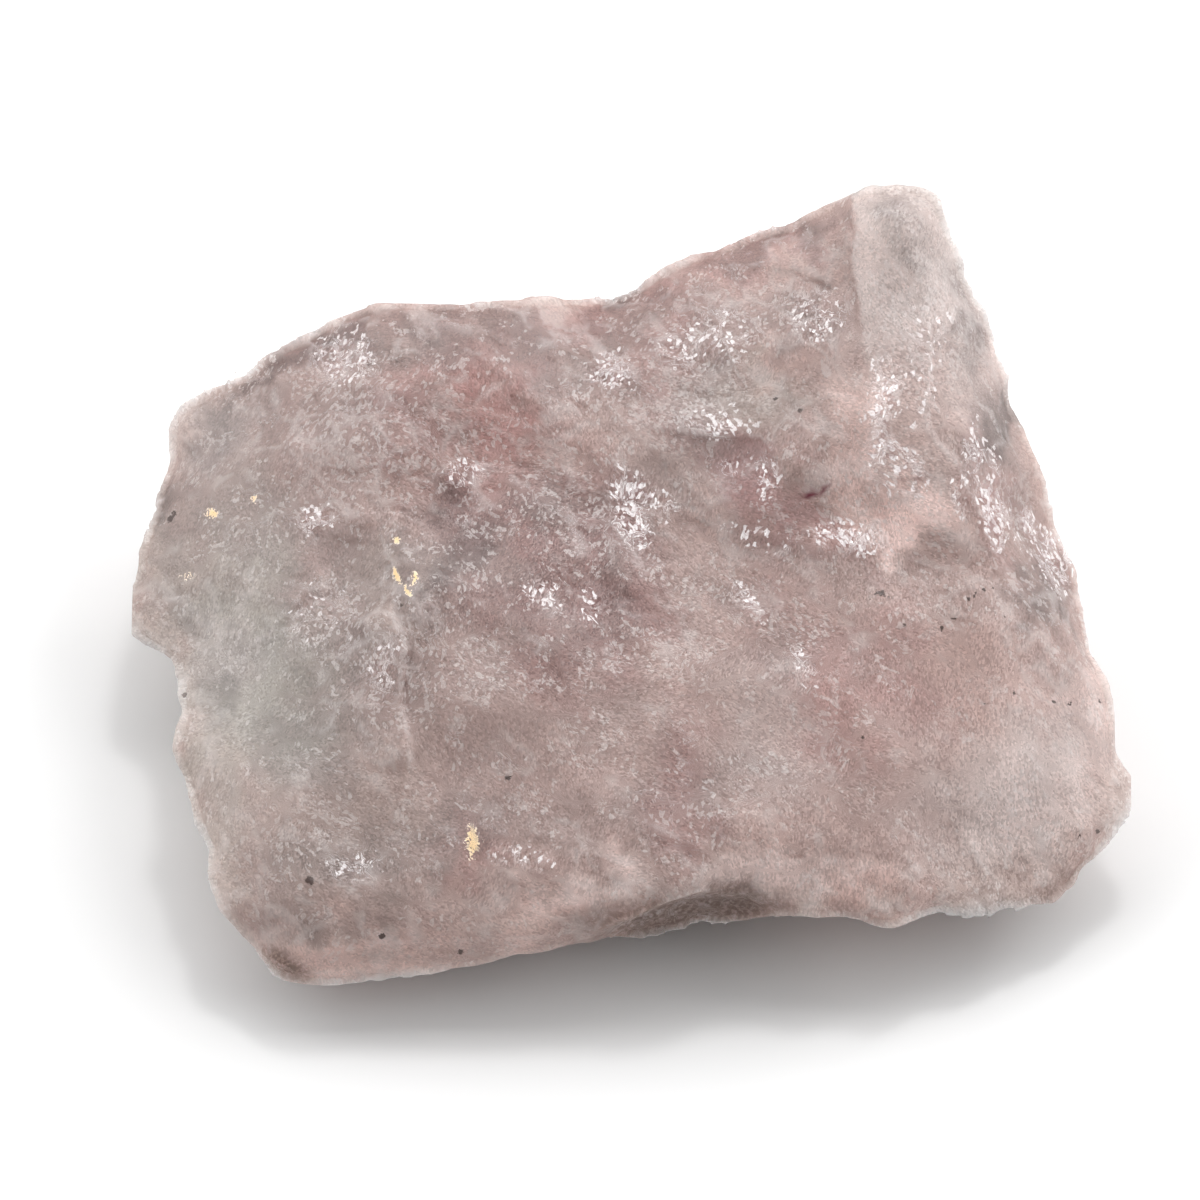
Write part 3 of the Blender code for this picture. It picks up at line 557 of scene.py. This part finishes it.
# Painted highlight: a thin pale line along each step's edge, where the edge catches the light.
for line, rise, reach in STEPS.values():
    worn = ramp(noise_at(spots, 1.6, 14), -0.3, 0.4)
    weights["pale_ridge_and_edge_highlight"] = np.maximum(weights["pale_ridge_and_edge_highlight"], step_edge(places + push * 0.3, line, 0.3) * facing * worn)
drift = np.stack([noise_at(spots, 1.4, seed) for seed in (7, 8, 9)], axis=1) * 0.5
swirl = np.stack([noise_at(spots, 7.0, seed) for seed in (10, 11, 12)], axis=1) * SWIRL
along_sight = spots @ SIGHT
angle = np.radians(MAIN_DIRECTION)
combed = np.stack([(places + swirl[:, :2]) @ (math.cos(angle), math.sin(angle)) / STREAK_LENGTH,
                   (places + swirl[:, :2]) @ (-math.sin(angle), math.cos(angle)) / STREAK_WIDTH,
                   along_sight / STREAK_WIDTH], axis=1)
weights["streak"] = np.maximum(ramp(noise_at(combed, 1.0, 13), 0.0, 0.6), clouds(pushed, FROSTY) * facing)
angle = np.radians(MAIN_DIRECTION + DIRECTION_SPREAD * (broad_tone - 0.5))
felt = np.stack([(places[:, 0] * np.cos(angle) + places[:, 1] * np.sin(angle)) / GRAIN_LENGTH,
                 (places[:, 1] * np.cos(angle) - places[:, 0] * np.sin(angle)) / GRAIN_WIDTH,
                 along_sight / GRAIN_WIDTH], axis=1) + drift * 0.8
angle = np.radians(MAIN_DIRECTION - 12.0 + DIRECTION_SPREAD * (small_tone - 0.5))
upright = np.stack([(places[:, 0] * np.cos(angle) + places[:, 1] * np.sin(angle)) * 0.55,
                    places[:, 1] * np.cos(angle) - places[:, 0] * np.sin(angle), along_sight], axis=1) + drift * 0.4

# %% [markdown]
# ## Thin edges
# Where the stone is thin, light comes through it and it looks paler and greyer. How thick it is can be measured:
# a ray goes straight in from each point, and the distance to the far side is the thickness.

# %% Thickness
THIN, THICK = 2.0, 14.0
tree_of_faces = BVHTree.FromPolygons(
    [tuple(spot) for spot in spots], [tuple(face.vertices) for face in stone_mesh.polygons])
thickness = np.full(len(spots), THICK)
for row, (spot, direction) in enumerate(zip(spots, directions)):
    inward = Vector(-direction)
    hit = tree_of_faces.ray_cast(Vector(spot) + inward * 0.05, inward, THICK)
    if hit[3] is not None:
        thickness[row] = hit[3]
weights["thin"] = 1.0 - ramp(thickness, THIN, THICK)
print("thinner than", THICK, "mm:", round(100 * float((thickness < THICK).mean())), "percent")

# %% Keep the weights with the mesh
for name, arrows in (("place", upright), ("facing", turn), ("felt", felt)):
    layer = stone_mesh.attributes.new(name, "FLOAT_VECTOR", "POINT")
    layer.data.foreach_set("vector", arrows.astype(np.float32).ravel())
for name, weight in weights.items():
    layer = stone_mesh.attributes.new(name, "FLOAT", "POINT")
    layer.data.foreach_set("value", weight.astype(np.float32))
    print(name, "covers", round(100 * float(weight.mean())), "percent")

# %% [markdown]
# ## Helpers for the finish
# A material is a graph of nodes. These few helpers add a node, set its values and join its inputs in one line.

# %% Node helpers
stone_finish = bpy.data.materials.new("cloudy_pink_beryl")
stone_finish.use_nodes = True
tree = stone_finish.node_tree
tree.nodes.clear()


def add(kind, settings=(), **inputs):
    """A node of that kind. An input is a value or another node's socket."""
    made = tree.nodes.new("ShaderNode" + kind)
    for name, value in dict(settings).items():
        setattr(made, name, value)
    for name, value in inputs.items():
        socket = made.inputs[int(name[1:])] if name[1:].isdigit() else made.inputs[name.replace("_", " ")]
        if isinstance(value, bpy.types.NodeSocket):
            tree.links.new(value, socket)
        else:
            socket.default_value = value
    return made


def maths(operation, first, second=0.0, third=0.0):
    return add("Math", {"operation": operation}, i0=first, i1=second, i2=third).outputs[0]


def vectors(operation, first, second=(0.0, 0.0, 0.0)):
    made = add("VectorMath", {"operation": operation}, i0=first)
    socket = made.inputs["Scale"] if operation == "SCALE" else made.inputs[1]
    if isinstance(second, bpy.types.NodeSocket):
        tree.links.new(second, socket)
    else:
        socket.default_value = second
    return made.outputs["Value"] if operation == "DOT_PRODUCT" else made.outputs["Vector"]


def stretch(value, low, high, new_low=0.0, new_high=1.0):
    """value from low..high spread smoothly over new_low..new_high."""
    made = add("MapRange", {"interpolation_type": "SMOOTHSTEP"}, i0=value)
    for place, number in enumerate((low, high, new_low, new_high), start=1):
        made.inputs[place].default_value = number
    return made.outputs[0]


def blend(share, first, second):
    """first where share is 0, second where it is 1."""
    made = add("Mix", {"data_type": "RGBA"}, Factor=share)
    for socket, value in ((made.inputs[6], first), (made.inputs[7], second)):
        if isinstance(value, bpy.types.NodeSocket):
            tree.links.new(value, socket)
        else:
            socket.default_value = value
    return made.outputs[2]


def weight_of(name):
    return add("Attribute", {"attribute_name": name}).outputs["Fac"]


def cloudy(place, size, detail=3.0, rough=0.55):
    """Soft noise from 0 to 1 whose lumps are about size millimetres wide."""
    return add("TexNoise", Vector=place, Scale=1.0 / size, Detail=detail, Roughness=rough).outputs[0]


def paint(red, green, blue):
    """A colour as it's seen, 0 to 255, turned into the linear values that shaders use."""
    return tuple((c / 255.0 / 12.92) if c < 11 else ((c / 255.0 + 0.055) / 1.055) ** 2.4
                 for c in (red, green, blue)) + (1.0,)


# %% [markdown]
# ## The grain of the stone
# Under a lens the stone is a felt of short fibres that follow its grain, with small flat flakes on the fresh breaks.
# A glint needs a flat facet, so bumps made of soft noise never glint like a broken stone.
# Here each cell of a pattern gets a tilt of its own, and the tilt is added to the direction that the surface faces.
# The place on the stone is in millimetres, so every size in the finish is a real one.

# %% Flakes and fibres
FLAKE_SIZE = 0.34
place = add("Attribute", {"attribute_name": "place"}).outputs["Vector"]
flakes = add("TexVoronoi", Vector=place, Scale=1.0 / FLAKE_SIZE)
flake_numbers = add("SeparateColor", Color=flakes.outputs["Color"])
felt = add("Attribute", {"attribute_name": "felt"}).outputs["Vector"]
grains = add("TexVoronoi", Vector=felt, Scale=1.0)
grain_numbers = add("SeparateColor", Color=grains.outputs["Color"])
glint = weight_of("glint")
lean = vectors("SUBTRACT", flakes.outputs["Color"], (0.5, 0.5, 0.5))
tilt = vectors("SCALE", lean, maths("MULTIPLY_ADD", glint, 0.4, 0.12))
fine_lean = vectors("SUBTRACT", grains.outputs["Color"], (0.5, 0.5, 0.5))
combing = vectors("SCALE", fine_lean, maths("MULTIPLY_ADD", glint, 0.1, 0.3))
smooth_normal = add("NewGeometry").outputs["Normal"]
faced = vectors("ADD", smooth_normal, add("Attribute", {"attribute_name": "facing"}).outputs["Vector"])
normal = vectors("NORMALIZE", vectors("ADD", faced, vectors("ADD", tilt, combing)))

# %% [markdown]
# ## The stone's colours
# The colour is mixed as the stone is: a beige body, rose and sage clouds in it, milky corners, a deeper rose
# in the hollow, mottled at three sizes and made paler or darker by the shade weight, which holds painted light and
# shade too. Pale strokes lie on the fibres, white and golden glints are painted on the flakes, brown dirt goes on
# last.

# %% Colour
BODY = paint(175, 151, 145)
ROSE_TINT = paint(174, 136, 131)
SAGE_TINT = paint(180, 174, 166)
THIN_TINT = paint(186, 174, 168)
MILK_TINT = paint(204, 190, 186)
DEEP_TINT = paint(152, 119, 118)
DIRT = paint(96, 74, 62)
FROST_AND_EDGE_LIGHT = paint(212, 204, 202)
# Two of these colours are painted highlights: the white of the painted glints and the golden one.
PAINTED_GLINT_WHITE = paint(246, 241, 242)
PAINTED_GOLD_GLINT = paint(250, 214, 160)
cloud = weight_of("cloud")
colour = blend(weight_of("rose"), BODY, ROSE_TINT)
colour = blend(maths("MULTIPLY", weight_of("sage"), 0.9), colour, SAGE_TINT)
colour = blend(maths("MULTIPLY", weight_of("milk"), 0.9), colour, MILK_TINT)
colour = blend(maths("MULTIPLY", weight_of("deep"), 0.55), colour, DEEP_TINT)
colour = blend(maths("MULTIPLY", weight_of("thin"), 0.3), colour, THIN_TINT)
fine_shade = maths("MULTIPLY_ADD", grain_numbers.outputs["Red"], 0.34, 0.83)
# The shade weight holds the stone's own tone and also the painted light and painted shade.
colour = vectors("SCALE", colour, maths("MULTIPLY", weight_of("shade"), fine_shade))
scarce = maths("MULTIPLY_ADD", weight_of("streak"), -0.5, 0.98)
fleck_and_edge_highlight = stretch(maths("SUBTRACT", flake_numbers.outputs["Red"], scarce), 0.0, 0.1, 0.0, 0.46)
fleck_and_edge_highlight = maths("MULTIPLY", fleck_and_edge_highlight, stretch(grain_numbers.outputs["Green"], 0.15, 0.6, 0.35, 1.0))
# The pale ridges add the bruised ridges and the painted highlight on the step edges to the flecks.
fleck_and_edge_highlight = maths("MAXIMUM", fleck_and_edge_highlight, maths("MULTIPLY", weight_of("pale_ridge_and_edge_highlight"), 0.3))
colour = blend(fleck_and_edge_highlight, colour, FROST_AND_EDGE_LIGHT)
# Painted highlight: near-white glints are painted on some flakes, most in the glinting breaks, and golden ones at the
# golden ovals.
few = maths("MULTIPLY_ADD", glint, -0.5, 1.0)
painted_glint = stretch(maths("SUBTRACT", flake_numbers.outputs["Green"], few), 0.0, 0.05, 0.0, 0.75)
painted_glint = maths("MULTIPLY", painted_glint, stretch(grain_numbers.outputs["Red"], 0.1, 0.4, 0.4, 1.0))
painted_gold_glint = weight_of("painted_gold_glint")
painted_glint = maths("MAXIMUM", painted_glint, stretch(maths("MULTIPLY_ADD", grain_numbers.outputs["Blue"], 0.7, painted_gold_glint), 0.95, 1.05))
colour = blend(painted_glint, colour, blend(painted_gold_glint, PAINTED_GLINT_WHITE, PAINTED_GOLD_GLINT))
joints = stretch(flakes.outputs["Distance"], 0.45, 0.65, 0.0, 0.45)
colour = blend(maths("MULTIPLY", joints, glint), colour, DEEP_TINT)
dirt = maths("MULTIPLY", weight_of("stain"), stretch(cloudy(place, 0.6, 2.0), 0.35, 0.6, 0.35, 0.85))
colour = blend(dirt, colour, DIRT)
speck = maths("MULTIPLY_ADD", grain_numbers.outputs["Blue"], 0.3, weight_of("speck"))
speck = stretch(speck, 0.6, 0.8, 0.0, 0.9)
colour = blend(speck, colour, paint(62, 42, 36))
colour = blend(weight_of("crack"), colour, paint(110, 32, 52))

# %% [markdown]
# ## Light inside the stone
# The stone is cloudy, so most of its light comes back from under the surface. Subsurface scattering does this:
# red light goes a little further in than blue, and thin edges come out pale.
# The gloss is the usual one of a mineral, sharp on fresh breaks and duller on dirt.

# %% The stone's shader
gloss = maths("MULTIPLY_ADD", glint, -0.33, 0.45)
gloss = maths("ADD", gloss, stretch(cloud, 0.3, 0.7, -0.05, 0.08))
gloss = maths("MULTIPLY_ADD", dirt, 0.35, gloss)
surface = add(
    "BsdfPrincipled",
    {"subsurface_method": "RANDOM_WALK"},
    Base_Color=colour,
    Roughness=gloss,
    IOR=1.58,
    Normal=normal,
    Subsurface_Weight=0.75,
    Subsurface_Radius=(1.0, 0.93, 0.9),
    Subsurface_Scale=0.008,
)
out = add("OutputMaterial", Surface=surface.outputs[0])
stone_mesh.materials.clear()
stone_mesh.materials.append(stone_finish)
print("the stone's finish has", len(tree.nodes), "nodes")

# %% [markdown]
# ## The table, the light and the camera
# The stone lies on a white table. A large soft light stands behind it on the right, so its shadow falls to the front,
# and the sky is white all round. The camera looks down the sight line of the survey.

# %% Table
table = bpy.data.objects.new("table", bpy.data.meshes.new("table"))
HALF_TABLE = 1.5
table.data.from_pydata(
    [(x * HALF_TABLE, y * HALF_TABLE, -0.00005) for x, y in ((-1, -1), (1, -1), (1, 1), (-1, 1))], [], [(0, 1, 2, 3)]
)
bpy.context.scene.collection.objects.link(table)
table_finish = bpy.data.materials.new("white_table")
table_finish.use_nodes = True
table_finish.node_tree.nodes["Principled BSDF"].inputs["Base Color"].default_value = (0.88, 0.88, 0.88, 1.0)
table_finish.node_tree.nodes["Principled BSDF"].inputs["Roughness"].default_value = 0.9
table_finish.node_tree.nodes["Principled BSDF"].inputs["Specular IOR Level"].default_value = 0.0
table.data.materials.append(table_finish)

# %% Lights
sky = bpy.data.worlds.new("white_sky")
sky.use_nodes = True
sky.node_tree.nodes["Background"].inputs["Color"].default_value = (1.0, 1.0, 1.0, 1.0)
sky.node_tree.nodes["Background"].inputs["Strength"].default_value = 0.28
bpy.context.scene.world = sky


def soft_light(name, azimuth, elevation, distance, width, height, power):
    """A light that faces the stone. Azimuth 0 is in front and 90 on the right, in degrees."""
    lamp = bpy.data.lights.new(name, "AREA")
    lamp.shape = "RECTANGLE"
    lamp.size = width
    lamp.size_y = height
    lamp.energy = power
    holder = bpy.data.objects.new(name, lamp)
    a, e = math.radians(azimuth), math.radians(elevation)
    towards = Vector((math.sin(a) * math.cos(e), -math.cos(a) * math.cos(e), math.sin(e)))
    holder.location = towards * distance
    holder.rotation_euler = towards.to_track_quat("Z", "Y").to_euler()
    bpy.context.scene.collection.objects.link(holder)
    return holder


soft_light("back_cloth", 178, 54, 0.9, 2.2, 0.6, 10.0)
soft_light("right_cloth", 94, 30, 0.9, 0.9, 0.9, 4.0)
soft_light("left_cloth", 262, 30, 0.9, 0.9, 0.9, 3.0)
soft_light("back_lamp", 165, 57, 0.9, 0.15, 0.12, 1.4)
soft_light("low_window", 130, 25, 0.9, 0.12, 0.12, 0.6)

# %% Camera
CAMERA_FAR, PICTURE_WIDTH = 1.0, 0.120
PICTURE_SHIFT_ACROSS, PICTURE_SHIFT_UP = -0.003, -0.0015
eye = bpy.data.cameras.new("camera")
camera = bpy.data.objects.new("camera", eye)
aim = Vector(SURVEY_ZERO * MM) + Vector((PICTURE_SHIFT_ACROSS, 0, 0)) + Vector(SURVEY_UP) * PICTURE_SHIFT_UP
camera.location = aim + Vector(SIGHT) * CAMERA_FAR
camera.rotation_euler = Vector(SIGHT).to_track_quat("Z", "Y").to_euler()
eye.sensor_width = 36.0
eye.lens = eye.sensor_width * CAMERA_FAR / PICTURE_WIDTH
eye.clip_end = 10.0
bpy.context.scene.collection.objects.link(camera)
bpy.context.scene.camera = camera
bpy.context.scene.view_settings.view_transform = "Standard"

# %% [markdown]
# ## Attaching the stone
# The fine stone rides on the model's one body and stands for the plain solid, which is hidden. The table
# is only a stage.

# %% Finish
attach(stone, "root")
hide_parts("morganite")
